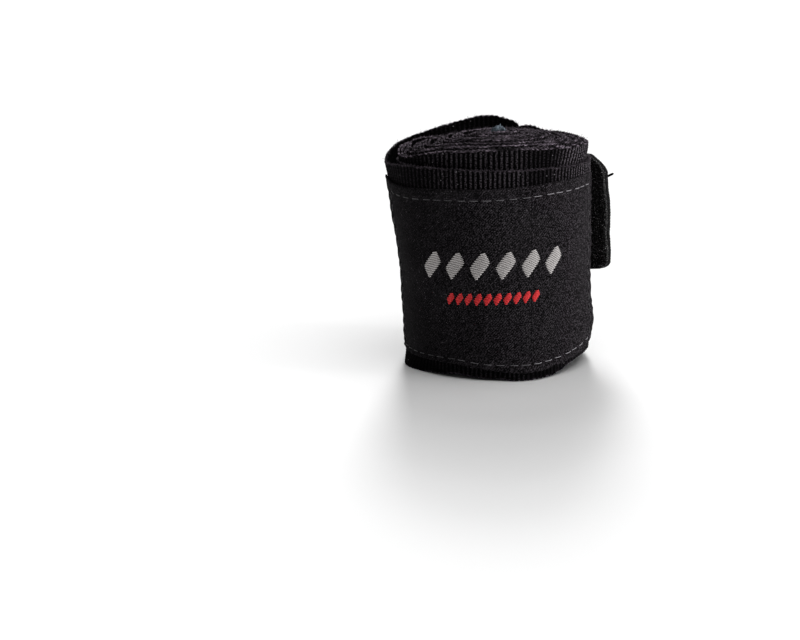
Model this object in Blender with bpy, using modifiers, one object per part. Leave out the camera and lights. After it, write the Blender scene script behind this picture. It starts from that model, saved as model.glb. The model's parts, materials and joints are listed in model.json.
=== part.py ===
"""Boxing hand wrap, wound into a roll and closed with a hook-and-loop tab.

One long elastic web is wound clockwise (seen from above) round a core that
holds its thumb loop.  Its last lap carries a sewn label at the front, and the closing
tab runs on from the end of the web, round the back, onto a loop patch.
The last lap and the tab are rigid arcs on vertical hinges, so the end of
the wrap peels off and straightens.

Frame: metres, +Z up along the roll's axis, -Y the labelled front, +X right.
The origin is the middle of the bounding box at floor level.
Strip position is an angle, "phi", in degrees along the web: 0 where the last
lap leaves the roll, positive towards the tab, negative towards the core.
"""
import math

import bmesh
import bpy
from mathutils import Vector

MM = 0.001

# Driving dimensions, in millimetres and degrees.
WEB_WIDTH = 50.0            # elastic web, edge to edge
WEB_THICKNESS = 0.36        # one layer of web under light tension
WEB_PITCH = 0.64            # growth of the winding radius in one turn
CORE_RADIUS = 2.2           # middle of the innermost turn
LAP_RADIUS = 22.41          # middle of the web where the last lap begins
LAP_ANGLE = 357.0           # direction of that place, seen from above
ROLL_AXIS = (-2.32, -1.04)  # the winding's axis from the origin

ARC = 45.0                  # one rigid arc of the last lap
ARCS = 7
LABEL_ARCS = 4              # the first four carry the label
FACET = 15.0                # one flat of an arc
JOIN_GAP = 0.3              # between neighbouring arcs
WEB_END_PHI = 282.0         # the web ends here, at the back
TAB_START_PHI = 210.0       # the hook tape is sewn on from here

INNER_RISE = 4.25           # inner turns stand higher than the outer ones
DROP_START_PHI = -510.0     # the web comes down to the floor from here
DROP_END_PHI = -440.0
SLANT_START_PHI = 172.0     # past the label the last lap climbs at a slant
SLANT_KNEE_PHI = 255.0
SLANT_END_PHI = 349.0
SLANT_KNEE_RISE = 7.9
SLANT_END_RISE = 10.6

LABEL_START_PHI = 9.0
LABEL_END_PHI = 172.0
LABEL_LOW = 2.65
LABEL_HIGH = 45.95
LABEL_THICKNESS = 0.5
LAYER_GAP = 0.15            # between sewn layers
STITCH_INSET = 3.0          # seam to the folded edge
THREAD_WIDTH = 0.5
THREAD_THICKNESS = 0.3

TAB_WIDTH = 30.0
TAB_STITCH_INSET = 1.5
TAB_FREE_LENGTH = 13.6      # straight lifted end past the last arc
TAB_SEAM_SHORT = 2.0        # the edge seams stop this far from the free end
HOOK_THICKNESS = 0.8
TAPE_THICKNESS = 0.9
JOINT_SEAM_PHI = 278.0      # seam that sews the tab to the end of the web
CLIMB_START_PHI = 180.0     # the lap climbs over the loop patch and hook tape
CLIMB_END_PHI = 210.0
PATCH_THICKNESS = 0.9
PATCH_LOW = 6.0
PATCH_HIGH = 46.0
PATCH_START_PHI = -150.0
PATCH_END_PHI = -45.0

LOOP_WIDTH = 10.0           # thumb loop tape
LOOP_THICKNESS = 0.5
LOOP_LOW = 30.0
LOOP_HALF_LENGTH = 0.7
LOOP_RADIUS = 0.7
TACK_GAP = 0.35
TAG_LOW = 32.0
TAG_HIGH = 57.0
TAG_HALF_LENGTH = 0.8
TAG_THICKNESS = 0.3
TAG_GAP = 0.65

# Layer middles as offsets from the middle of the web, outwards.
PATCH_OFFSET = 0.5 * WEB_THICKNESS + LAYER_GAP + 0.5 * PATCH_THICKNESS
LABEL_OFFSET = 0.5 * WEB_THICKNESS + LAYER_GAP + 0.5 * LABEL_THICKNESS
SEAM_OFFSET = LABEL_OFFSET + 0.5 * (LABEL_THICKNESS + THREAD_THICKNESS) + LAYER_GAP
HOOK_OFFSET = PATCH_OFFSET - WEB_PITCH + 0.5 * (PATCH_THICKNESS + HOOK_THICKNESS) + LAYER_GAP
BACK_WEB_OFFSET = HOOK_OFFSET + 0.5 * (HOOK_THICKNESS + WEB_THICKNESS) + LAYER_GAP
TAPE_OFFSET = HOOK_OFFSET + 0.5 * (HOOK_THICKNESS + TAPE_THICKNESS) + LAYER_GAP
TAB_SEAM_OFFSET = TAPE_OFFSET + 0.5 * (TAPE_THICKNESS + THREAD_THICKNESS) + LAYER_GAP

# Hinge axes lie outside every layer, so that nothing is squeezed when the
# strip straightens.
LABEL_HINGE_OFFSET = 1.6
CLIMB_HINGE_OFFSET = 1.9
TAB_HINGE_OFFSET = 3.3

BLACK_WEB = (0.010, 0.009, 0.011)
BLACK_LABEL = (0.013, 0.012, 0.014)
BLACK_TAPE = (0.006, 0.006, 0.006)
GREY_THREAD = (0.20, 0.20, 0.22)
BLUE_GREY_TAG = (0.075, 0.08, 0.095)


def clear_scene():
    """Remove whatever the file holds."""
    for obj in list(bpy.data.objects):
        bpy.data.objects.remove(obj, do_unlink=True)


def make_material(name, colour, roughness):
    """Plain Principled material for one kind of cloth."""
    material = bpy.data.materials.new(name)
    material.use_nodes = True
    shader = material.node_tree.nodes["Principled BSDF"]
    shader.inputs["Base Color"].default_value = (*colour, 1.0)
    shader.inputs["Roughness"].default_value = roughness
    shader.inputs["Metallic"].default_value = 0.0
    return material


def smooth_step(value):
    """0 below 0, 1 above 1, with flat ends between."""
    value = min(max(value, 0.0), 1.0)
    return value * value * (3.0 - 2.0 * value)


def mid_radius(phi):
    """Radius of the middle of the web at a place along the strip."""
    return LAP_RADIUS + WEB_PITCH * phi / 360.0


def place(phi, offset=0.0):
    """Point (x, y) at a place along the strip, offset outwards from the web."""
    radius = mid_radius(phi) + offset
    angle = math.radians(LAP_ANGLE - phi)
    return (ROLL_AXIS[0] + radius * math.cos(angle), ROLL_AXIS[1] + radius * math.sin(angle))


def trim(offset):
    """Half the gap between two arcs, as an angle at that layer."""
    return math.degrees(0.5 * JOIN_GAP / (LAP_RADIUS + offset))


def arc_phis(start, end):
    """Facet corners from start to end, on the winding's own grid."""
    phis = [start]
    corner = FACET * (math.floor(start / FACET) + 1)
    while corner < end - 1.0:
        if corner > start + 1.0:
            phis.append(corner)
        corner += FACET
    return phis + [end]


def web_low(phi):
    """Height of the web's lower edge: telescoped inside, slanting up at the end."""
    if phi < 0.0:
        drop = smooth_step((phi - DROP_START_PHI) / (DROP_END_PHI - DROP_START_PHI))
        return INNER_RISE * (1.0 - drop)
    if phi < SLANT_KNEE_PHI:
        share = max(0.0, (phi - SLANT_START_PHI) / (SLANT_KNEE_PHI - SLANT_START_PHI))
        return SLANT_KNEE_RISE * share
    share = (phi - SLANT_KNEE_PHI) / (SLANT_END_PHI - SLANT_KNEE_PHI)
    return SLANT_KNEE_RISE + (SLANT_END_RISE - SLANT_KNEE_RISE) * share


def web_offset(phi):
    """Outward offset of the last lap, which climbs over the loop patch."""
    climb = (phi - CLIMB_START_PHI) / (CLIMB_END_PHI - CLIMB_START_PHI)
    return BACK_WEB_OFFSET * min(max(climb, 0.0), 1.0)


def facet_at(radius):
    """Angle of one flat: finer on the outer turns."""
    if radius > 12.0:
        return FACET
    if radius > 6.0:
        return 1.5 * FACET
    return 2.0 * FACET


def spiral_phis():
    """Corners of the wound web, from the core out to the last lap."""
    phis = [-trim(0.0)]
    phi = -FACET
    while mid_radius(phi) > CORE_RADIUS:
        phis.append(phi)
        phi -= facet_at(mid_radius(phi))
    phis.reverse()
    return phis


def tab_path(phis, offset, short=0.0):
    """Points and lower edges of a tab layer; the last arc has the free end."""
    climb = [offset - BACK_WEB_OFFSET + web_offset(phi) for phi in phis]
    points = [place(phi, layer) for phi, layer in zip(phis, climb)]
    lows = [web_low(phi) + 0.5 * (WEB_WIDTH - TAB_WIDTH) for phi in phis]
    if phis[-1] == ARC * ARCS:
        angle = math.radians(LAP_ANGLE - phis[-1])
        run = TAB_FREE_LENGTH - short
        x, y = points[-1]
        points.append((x + run * math.sin(angle), y - run * math.cos(angle)))
        lows.append(web_low(SLANT_END_PHI) + 0.5 * (WEB_WIDTH - TAB_WIDTH))
    return points, lows


def make_hinge(name, location, parent, collection):
    """Empty on a hinge axis; everything on the moving side hangs from it."""
    empty = bpy.data.objects.new(name, None)
    empty.empty_display_size = 5.0 * MM
    collection.objects.link(empty)
    empty.parent = parent
    base = Vector((0.0, 0.0, 0.0)) if parent is None else Vector(parent["axis_point"])
    empty["axis_point"] = location
    empty.location = Vector(location) - base
    return empty


def add_ribbon(name, points, lows, highs, thickness, material, hinge, collection):
    """Upright strip along points (mm), solid to half its thickness each way."""
    base = Vector((0.0, 0.0, 0.0)) if hinge is None else Vector(hinge["axis_point"])
    bm = bmesh.new()
    lower = [bm.verts.new(Vector((x, y, low)) * MM - base) for (x, y), low in zip(points, lows)]
    edges = [bm.edges.new(pair) for pair in zip(lower[:-1], lower[1:])]
    raised = bmesh.ops.extrude_edge_only(bm, edges=edges)["geom"]
    upper = [item for item in raised if isinstance(item, bmesh.types.BMVert)]
    height_at = {vert.co.to_tuple(7): high * MM for vert, high in zip(lower, highs)}
    for vert in upper:
        vert.co.z = height_at[vert.co.to_tuple(7)] - base.z
    mesh = bpy.data.meshes.new(name)
    bm.to_mesh(mesh)
    bm.free()
    mesh.shade_smooth()
    mesh.materials.append(material)
    obj = bpy.data.objects.new(name, mesh)
    collection.objects.link(obj)
    obj.parent = hinge
    solid = obj.modifiers.new("Thickness", "SOLIDIFY")
    solid.thickness = thickness * MM
    solid.offset = 0.0
    solid.use_even_offset = True
    return obj


def add_level_ribbon(name, points, low, high, thickness, material, hinge, collection):
    """Ribbon whose two edges are level."""
    count = len(points)
    return add_ribbon(name, points, [low] * count, [high] * count, thickness, material, hinge, collection)


def build_roll(materials, collection):
    """Everything that stays with the roll: winding, core pieces and loop patch."""
    phis = spiral_phis()
    lows = [web_low(phi) for phi in phis]
    highs = [low + WEB_WIDTH for low in lows]
    add_ribbon("web_roll", [place(phi) for phi in phis], lows, highs,
               WEB_THICKNESS, materials["web"], None, collection)

    x, y = ROLL_AXIS
    turn = [math.radians(180.0 * step / 6) for step in range(7)]
    loop = [(x - LOOP_RADIUS, y - LOOP_HALF_LENGTH)]
    loop += [(x - LOOP_RADIUS * math.cos(angle),
              y + LOOP_HALF_LENGTH - LOOP_RADIUS + LOOP_RADIUS * math.sin(angle))
             for angle in turn]
    loop.append((x + LOOP_RADIUS, y - LOOP_HALF_LENGTH))
    add_level_ribbon("thumb_loop", loop, LOOP_LOW, LOOP_LOW + LOOP_WIDTH,
                     LOOP_THICKNESS, materials["web"], None, collection)
    tack_y = y - LOOP_HALF_LENGTH - TACK_GAP
    tack = [(x - LOOP_RADIUS, tack_y), (x + LOOP_RADIUS, tack_y)]
    add_level_ribbon("loop_bar_tack", tack, LOOP_LOW + 1.0, LOOP_LOW + LOOP_WIDTH - 1.0,
                     THREAD_THICKNESS, materials["black_thread"], None, collection)
    tag_y = y + LOOP_HALF_LENGTH + TAG_GAP
    tag = [(x - TAG_HALF_LENGTH, tag_y), (x + TAG_HALF_LENGTH, tag_y)]
    add_level_ribbon("size_tag", tag, TAG_LOW, TAG_HIGH,
                     TAG_THICKNESS, materials["tag"], None, collection)

    points = [place(phi, PATCH_OFFSET) for phi in arc_phis(PATCH_START_PHI, PATCH_END_PHI)]
    add_level_ribbon("loop_patch", points, PATCH_LOW, PATCH_HIGH,
                     PATCH_THICKNESS, materials["tape"], None, collection)


def build_web_arc(index, hinge, materials, collection):
    """The web of one arc of the last lap."""
    start = ARC * index
    end = min(start + ARC, WEB_END_PHI)
    phis = arc_phis(start + trim(0.0), end - trim(0.0))
    lows = [web_low(phi) for phi in phis]
    highs = [low + WEB_WIDTH for low in lows]
    add_ribbon(f"web_lap_{index + 1}", [place(phi, web_offset(phi)) for phi in phis],
               lows, highs, WEB_THICKNESS, materials["web"], hinge, collection)


def build_label_arc(index, hinge, materials, collection):
    """The label of one arc, with its top and bottom seams and any end seam."""
    number = index + 1
    start = ARC * index
    end = start + ARC
    label_start = max(start + trim(LABEL_OFFSET), LABEL_START_PHI)
    label_end = min(end - trim(LABEL_OFFSET), LABEL_END_PHI)
    points = [place(phi, LABEL_OFFSET) for phi in arc_phis(label_start, label_end)]
    add_level_ribbon(f"label_panel_{number}", points, LABEL_LOW, LABEL_HIGH,
                     LABEL_THICKNESS, materials["label"], hinge, collection)

    inset = math.degrees(STITCH_INSET / (LAP_RADIUS + SEAM_OFFSET))
    seam_start = max(start + trim(SEAM_OFFSET), LABEL_START_PHI + inset)
    seam_end = min(end - trim(SEAM_OFFSET), LABEL_END_PHI - inset)
    points = [place(phi, SEAM_OFFSET) for phi in arc_phis(seam_start, seam_end)]
    rows = {"top": LABEL_HIGH - STITCH_INSET, "bottom": LABEL_LOW + STITCH_INSET}
    for row, height in rows.items():
        add_level_ribbon(f"label_seam_{row}_{number}", points, height - 0.5 * THREAD_WIDTH,
                         height + 0.5 * THREAD_WIDTH, THREAD_THICKNESS, materials["thread"],
                         hinge, collection)
    half = math.degrees(0.5 * THREAD_WIDTH / (LAP_RADIUS + SEAM_OFFSET))
    ends = {0: ("right", seam_start + half), LABEL_ARCS - 1: ("left", seam_end - half)}
    if index in ends:
        side, centre = ends[index]
        points = [place(centre - half, SEAM_OFFSET), place(centre + half, SEAM_OFFSET)]
        add_level_ribbon(f"label_seam_{side}", points, rows["bottom"] + THREAD_WIDTH,
                         rows["top"] - THREAD_WIDTH, THREAD_THICKNESS, materials["thread"],
                         hinge, collection)


def build_tab_arc(index, hinge, materials, collection):
    """One arc of the closing tab: hook tape, its edge seams and, last, the backing."""
    number = index - LABEL_ARCS + 1
    start = max(ARC * index, TAB_START_PHI)
    end = ARC * (index + 1)
    last = index == ARCS - 1
    cut = 0.0 if last else trim(HOOK_OFFSET)
    phis = arc_phis(start + trim(HOOK_OFFSET), end - cut)
    points, lows = tab_path(phis, HOOK_OFFSET)
    highs = [low + TAB_WIDTH for low in lows]
    add_ribbon(f"hook_tape_{number}", points, lows, highs, HOOK_THICKNESS,
               materials["hook"], hinge, collection)
    points, lows = tab_path(phis, TAB_SEAM_OFFSET, TAB_SEAM_SHORT)
    for row, height in (("top", TAB_WIDTH - TAB_STITCH_INSET), ("bottom", TAB_STITCH_INSET)):
        row_lows = [low + height - 0.5 * THREAD_WIDTH for low in lows]
        row_highs = [low + THREAD_WIDTH for low in row_lows]
        add_ribbon(f"tab_seam_{row}_{number}", points, row_lows, row_highs, THREAD_THICKNESS,
                   materials["black_thread"], hinge, collection)
    if last:
        phis = arc_phis(WEB_END_PHI + trim(TAPE_OFFSET), end)
        points, lows = tab_path(phis, TAPE_OFFSET)
        highs = [low + TAB_WIDTH for low in lows]
        add_ribbon("tab_backing", points, lows, highs, TAPE_THICKNESS,
                   materials["tape"], hinge, collection)
        half = math.degrees(0.5 * THREAD_WIDTH / (LAP_RADIUS + BACK_WEB_OFFSET))
        phis = [JOINT_SEAM_PHI - half, JOINT_SEAM_PHI + half]
        offset = BACK_WEB_OFFSET + 0.5 * (WEB_THICKNESS + THREAD_THICKNESS) + LAYER_GAP
        points = [place(phi, offset) for phi in phis]
        low = lows[0] + TAB_STITCH_INSET + THREAD_WIDTH
        high = lows[0] + TAB_WIDTH - TAB_STITCH_INSET - 2.0 * THREAD_WIDTH
        add_level_ribbon("tab_joint_seam", points, low, high, THREAD_THICKNESS,
                         materials["black_thread"], hinge, collection)


def hinge_offset(index):
    """How far outside the web the hinge before an arc lies."""
    if index < LABEL_ARCS:
        return LABEL_HINGE_OFFSET
    if index == LABEL_ARCS:
        return CLIMB_HINGE_OFFSET
    return TAB_HINGE_OFFSET


def build():
    """Make the whole wrap in its own collection."""
    clear_scene()
    collection = bpy.data.collections.new("hand_wrap")
    bpy.context.scene.collection.children.link(collection)
    materials = {
        "web": make_material("black_web", BLACK_WEB, 0.9),
        "label": make_material("black_label_cloth", BLACK_LABEL, 0.6),
        "tape": make_material("black_loop_tape", BLACK_TAPE, 0.95),
        "hook": make_material("black_hook_tape", BLACK_TAPE, 0.6),
        "thread": make_material("grey_thread", GREY_THREAD, 0.6),
        "black_thread": make_material("black_thread", BLACK_TAPE, 0.6),
        "tag": make_material("blue_grey_tag", BLUE_GREY_TAG, 0.7),
    }
    build_roll(materials, collection)
    hinge = None
    for index in range(ARCS):
        x, y = place(ARC * index, hinge_offset(index))
        hinge = make_hinge(f"hinge_{index + 1}", (x * MM, y * MM, 0.0), hinge, collection)
        build_web_arc(index, hinge, materials, collection)
        if index < LABEL_ARCS:
            build_label_arc(index, hinge, materials, collection)
        else:
            build_tab_arc(index, hinge, materials, collection)


build()
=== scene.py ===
"""Looks of the wound hand wrap: ribbed web, sewn label, closing tab, floor and light.

Everything is laid out along the strip.  "phi" is degrees along the winding: 0
where the last lap leaves the roll, positive towards the tab, negative towards
the core.  Lengths are millimetres here and metres in the meshes.
"""

import json
import math

import bpy
import numpy as np
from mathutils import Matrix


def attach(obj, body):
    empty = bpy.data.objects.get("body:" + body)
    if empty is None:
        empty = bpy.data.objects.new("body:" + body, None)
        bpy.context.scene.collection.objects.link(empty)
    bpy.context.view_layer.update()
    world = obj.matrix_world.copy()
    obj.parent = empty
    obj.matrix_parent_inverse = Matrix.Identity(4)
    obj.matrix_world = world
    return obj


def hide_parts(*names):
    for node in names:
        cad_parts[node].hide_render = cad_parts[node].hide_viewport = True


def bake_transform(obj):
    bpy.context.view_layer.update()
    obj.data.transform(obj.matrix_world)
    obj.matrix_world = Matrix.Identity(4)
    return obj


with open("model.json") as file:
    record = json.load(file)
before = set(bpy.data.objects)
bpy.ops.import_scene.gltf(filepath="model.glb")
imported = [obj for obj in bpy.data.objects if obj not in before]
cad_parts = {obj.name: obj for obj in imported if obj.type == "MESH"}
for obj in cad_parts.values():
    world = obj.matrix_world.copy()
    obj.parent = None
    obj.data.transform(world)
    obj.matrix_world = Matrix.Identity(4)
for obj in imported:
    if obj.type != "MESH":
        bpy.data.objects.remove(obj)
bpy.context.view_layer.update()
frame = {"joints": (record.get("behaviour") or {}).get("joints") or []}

MM = 0.001

# Winding, as in the CAD frame.
WEB_WIDTH = 50.0
WEB_HALF = 0.12             # half the web's thickness between its ribs
WEB_PITCH = 0.64
CORE_PHI = -11340.0
LAP_RADIUS = 22.41
LAP_ANGLE = 357.0
ARC = 45.0                  # degrees between joints
HALF_ARC = 22.5
BLEND_REACH = 22.5          # the cloth bends this far each side of a joint
WEB_END_PHI = 282.0
LABEL_START_PHI = 9.0
LABEL_END_PHI = 172.0
LABEL_WIDTH = 43.3
LABEL_THICKNESS = 0.24
LABEL_OUT = 0.68            # its face, outside the web's middle
ON_WEB = 0.33               # where a cloth that lies on the web's ribs starts
TAB_START_PHI = 210.0
BACKING_START_PHI = 274.0
FREE_PHI = 315.0            # the tab runs straight from here
FREE_LENGTH = 13.6
FREE_RADIUS = 26.0
TAB_END_PHI = FREE_PHI + math.degrees(FREE_LENGTH / FREE_RADIUS)
TAB_WIDTH = 30.0
HOOK_TAPE_OUT = (0.76, 1.46)    # inner and outer side, before the climb is taken off
BACKING_OUT = (1.62, 2.52)
TAB_SEAM_INSET = 1.5
PATCH_PHIS = (-150.0, -45.0)
PATCH_LOW = 6.0
PATCH_WIDTH = 40.0
CLIMB = 1.87                # the last lap climbs this far over patch and hook tape
CLIMB_PHIS = (180.0, 210.0)
INNER_RISE = 4.25           # the inner turns stand this much higher than the last two
DROP_PHIS = (-510.0, -440.0)    # where the web comes down from that height
DOME = 2.1                  # the core stands this much higher again
DOME_RADIUS = 21.2          # where that dome starts
TOP_RADIUS = 21.4           # the outermost raised turn
SUNK_TURNS = ((-1353.0, 1.1), (-2433.0, 1.4), (-3380.0, 1.0), (-4593.0, 1.5), (-5600.0, 1.0),
              (-6753.0, 1.5), (-8553.0, 1.5), (-9600.0, 1.0))   # where a turn has sunk, and how far

# Cloth detail.
RIB_PITCH = 1.17
LAP_RIB_PITCH = 1.09        # the last lap is stretched a little less
RIB_DEPTH = 0.19
BEAD_PITCH = 0.62
WEB_RIM = 0.10              # the cut edges are rounded by this much
DULL_PATCHES = ((25.5, 6.0), (64.0, 20.0), (-252.7, 7.5), (-216.0, 15.0))   # darker web: length, reach
PAINTED_LIGHT_PATCHES = ((5.0, 14.0), (-268.5, 14.0))    # web painted paler at the right, painted light: length, reach
CLEAN_EDGE = (-180.0, -165.0)   # where the fray along its top edge thins out
STITCH_INSET = 2.6
STITCH_PITCH = 2.85
STITCH_LENGTH = 2.1

FLOOR_ALBEDO = 0.87

rng = np.random.default_rng(11)


# ---- camera

def joint_point(name):
    """A joint's place in the frame, in millimetres."""
    joint = next(j for j in frame["joints"] if j["name"] == name)
    return np.array(joint["pos_m"]) / MM


def find_axis():
    """The winding's axis: it divides the line between two opposite hinges."""
    near, far = joint_point("unroll_1"), joint_point("unroll_5")
    near_outside, far_outside = 1.6, 1.9    # how far the hinges lie outside the spiral
    near_radius = LAP_RADIUS + near_outside
    far_radius = LAP_RADIUS + 0.5 * WEB_PITCH + far_outside
    return near + (far - near) * near_radius / (near_radius + far_radius)


AXIS_X, AXIS_Y, AXIS_Z = find_axis()


def add_object(name, data):
    """New object in the scene."""
    obj = bpy.data.objects.new(name, data)
    bpy.context.scene.collection.objects.link(obj)
    return obj


def add_camera():
    """Camera a little above the roll's top, looking along +Y and down."""
    data = bpy.data.cameras.new("camera")
    data.sensor_width = 36.0
    data.lens = 66.0
    data.shift_x, data.shift_y = -0.1225, -0.0775
    data.clip_start, data.clip_end = 0.01, 20.0
    camera = add_object("camera", data)
    distance, elevation = 365.0, math.radians(11.7)
    camera.location = (AXIS_X * MM, (AXIS_Y - distance * math.cos(elevation)) * MM,
                       (AXIS_Z + distance * math.sin(elevation)) * MM)
    camera.rotation_euler = (math.pi / 2 - elevation, 0.0, 0.0)
    bpy.context.scene.camera = camera


add_camera()


# ---- strip geometry

def ease(start, end, value):
    """0 at start, 1 at end, with flat ends between."""
    share = np.clip((value - start) / (end - start), 0.0, 1.0)
    return share * share * (3.0 - 2.0 * share)


def trace(stops, value):
    """The broken line through (place, size) stops."""
    places, sizes = zip(*stops)
    return np.interp(value, places, sizes)


def wander(phi, period, seed):
    """Smooth random value between -1 and 1 that changes about once a period."""
    count = 4096
    knots = np.random.default_rng(seed).uniform(-1.0, 1.0, count)
    place = np.asarray(phi) / period + 0.5 * count
    low = np.floor(place).astype(int)
    share = ease(0.0, 1.0, place - low)
    return knots[low % count] * (1.0 - share) + knots[(low + 1) % count] * share


def ripples(length, height, seed, waves=7, short=5.0, long=16.0):
    """Soft two-way waves over a cloth, about -1 to 1."""
    random = np.random.default_rng(seed)
    total = 0.0
    for _ in range(waves):
        heading = random.uniform(0.0, math.tau)
        number = math.tau / random.uniform(short, long)
        across = length * math.cos(heading) + height * math.sin(heading)
        total = total + np.sin(number * across + random.uniform(0.0, math.tau))
    return total / math.sqrt(waves)


def wear(x, y):
    """How pale the frayed edges are over the roll, in streaks: about 0 to 1."""
    return np.clip(0.5 + 0.5 * ripples(x / 3.0, y, 77, waves=14, short=1.8, long=5.5), 0.03, 1.0)


def plain_radius(phi):
    """Radius of the spiral before anything lifts it."""
    return LAP_RADIUS + WEB_PITCH * phi / 360.0


def climb(phi):
    """How far the last lap stands out from its plain spiral."""
    return CLIMB * ease(*CLIMB_PHIS, phi)


def hump(phi, direction, width):
    """1 where the strip passes a direction, falling off to each side.

    Directions are degrees as seen from above: 0 right, 90 back, 180 left, 270 front.
    """
    away = (LAP_ANGLE - phi - direction + 180.0) % 360.0 - 180.0
    return np.exp(-(away / width) ** 2)


def stand_off(phi, z):
    """How far the cloth stands out from its plain spiral at a height.

    The last lap gapes at its upper left, and its foot bulges a little.  The
    turns inside it splay at the upper left as well, and those above the lap's
    rim swell a little at the right.
    """
    stops = ((84.0, 0.0), (115.0, 1.1), (135.0, 2.3), (155.0, 3.9), (177.0, 5.2), (200.0, 4.1),
             (215.0, 3.4), (255.0, 2.0), (300.0, 0.6))
    turns = (-8.0, -4.0, 0.0, 4.0, 8.0)     # averaged, so that the cloth has no kinks
    gape = sum(trace(stops, phi + turn) for turn in turns) / len(turns)
    lap = gape * np.clip(z / WEB_WIDTH, 0.0, 1.2) ** 2.0
    rank = np.clip(plain_radius(phi) / TOP_RADIUS, 0.0, 1.0)
    splay = 3.3 * hump(phi, 190.0, 40.0) * np.clip(z / 54.0, 0.0, 1.2) ** 3 * rank ** 1.5
    swell = 0.8 * hump(phi, 12.0, 45.0) * ease(49.0, 53.5, z) * rank ** 2
    foot = 1.5 * hump(phi, 205.0, 16.0) * ease(4.0, 0.0, z)
    foot = foot + 1.5 * hump(phi, 287.0, 15.0) * ease(7.0, 0.0, z)
    belly = 0.7 * hump(phi, 352.0, 22.0) * np.exp(-((z - 11.0) / 5.0) ** 2)
    return np.where(phi > 0.0, lap + foot + belly, splay + swell)


def arc_length(phi):
    """Length along the web from phi 0, in millimetres."""
    return math.radians(1.0) * (LAP_RADIUS * phi + WEB_PITCH * phi * phi / 720.0)


def locate(phi, z, out):
    """Points in the frame, in metres, out millimetres outside the web's middle."""
    bend = np.minimum(phi, FREE_PHI)
    run = np.radians(phi - bend) * FREE_RADIUS
    angle = np.radians(LAP_ANGLE - bend)
    radius = plain_radius(bend) + climb(bend) + out
    x = AXIS_X + radius * np.cos(angle) + run * np.sin(angle)
    y = AXIS_Y + radius * np.sin(angle) - run * np.cos(angle)
    return np.stack(np.broadcast_arrays(x, y, z), axis=-1) * MM


def web_low(phi):
    """Height of the web's lower edge.

    The inner turns are raised in an uneven dome that dips at the left and the
    back.  The last lap is wound at a slant under the tab.
    """
    radius = plain_radius(phi)
    deep = 1.0 - ease(*DROP_PHIS, phi)
    outer = np.clip(radius / DOME_RADIUS, 0.0, 1.0)
    core = 1.0 - outer ** 2
    uneven = 0.5 * wander(phi, 590.0, 3) + 0.22 * wander(phi, 130.0, 4)
    dip = (2.8 * hump(phi, 197.0, 27.0) + 1.9 * hump(phi, 138.0, 26.0)) * outer ** 2
    knob = 1.3 * hump(phi, 66.0, 9.0) * ease(16.0, 20.5, radius)
    brow = 0.55 * hump(phi, 288.0, 32.0) * outer ** 2
    uneven = uneven - sum(depth * np.exp(-((phi - at) / 250.0) ** 2) for at, depth in SUNK_TURNS)
    inner = deep * (INNER_RISE + DOME * core + uneven * ease(-560.0, -900.0, phi) - dip + knob + brow)
    slant = trace(((172.0, 0.0), (255.0, 7.5), (349.0, 10.2)), phi)
    return np.where(phi < 0.0, inner, slant)


def top_drop(phi):
    """How far the last lap's upper edge sinks: at the upper left, and at the web's worn end."""
    stops = ((140.0, 0.0), (172.0, 0.9), (207.0, 0.95), (222.0, 0.9), (237.0, 0.6), (257.0, 0.3),
             (270.0, 0.0))
    worn = 2.4 * ease(260.0, WEB_END_PHI, phi) + 2.0 * ease(274.0, WEB_END_PHI, phi) ** 2
    return trace(stops, phi) + worn


def foot_lift(phi):
    """How far the lower edge of the two last turns stands off the floor."""
    stops = ((220.0, 0.0), (245.0, 1.0), (256.0, 0.5), (272.0, 0.45), (279.0, 0.0), (304.0, 0.2),
             (311.0, 0.85), (317.0, 1.7), (329.0, 2.7), (345.0, 2.9), (380.0, 2.5), (420.0, 0.0))
    direction = (LAP_ANGLE - phi - 90.0) % 360.0 + 90.0
    return trace(stops, direction) * ease(-440.0, -400.0, phi)


def columns(start, end, spacing):
    """Strip positions from start to end, about spacing millimetres apart."""
    length = arc_length(np.array([start, end]))
    count = max(2, int(round((length[1] - length[0]) / spacing)))
    lengths = np.linspace(length[0], length[1], count + 1)
    root = LAP_RADIUS ** 2 + 4.0 * (WEB_PITCH / 720.0) * lengths * math.degrees(1.0)
    return (np.sqrt(root) - LAP_RADIUS) * 360.0 / WEB_PITCH


def runs(*stops):
    """Heights from (end, step) runs that start at 0."""
    heights, at = [0.0], 0.0
    for end, step in stops:
        count = max(1, int(round((end - at) / step)))
        heights += [at + (end - at) * (i + 1) / count for i in range(count)]
        at = end
    return np.array(heights)


def add_mesh(name, points, quads, triangles, material, strip=None, caps=0):
    """Smooth mesh object; strip holds (length, height, side) for its material.

    The last caps quads and all the triangles are flat, so that two pieces
    that meet are shaded alike.
    """
    mesh = bpy.data.meshes.new(name)
    mesh.from_pydata(points.tolist(), [], quads.tolist() + triangles.tolist())
    mesh.update()
    smooth = np.ones(len(mesh.polygons), bool)
    if caps:
        smooth[len(quads) - caps:] = False
    mesh.polygons.foreach_set("use_smooth", smooth)
    mesh.materials.append(material)
    if strip is not None:
        layer = mesh.attributes.new("strip", "FLOAT_VECTOR", "POINT")
        layer.data.foreach_set("vector", strip.astype(np.float32).ravel())
        layer = mesh.attributes.new("wear", "FLOAT", "POINT")
        layer.data.foreach_set("value", wear(*points[:, :2].T / MM).astype(np.float32))
    return add_object(name, mesh)


def round_loops(count, loop):
    """Index of each point on all but the last of count closed loops, and of the point beside it."""
    base = np.arange(count - 1)[:, None] * loop
    place = np.arange(loop)[None, :]
    return base + place, base + (place + 1) % loop


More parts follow.
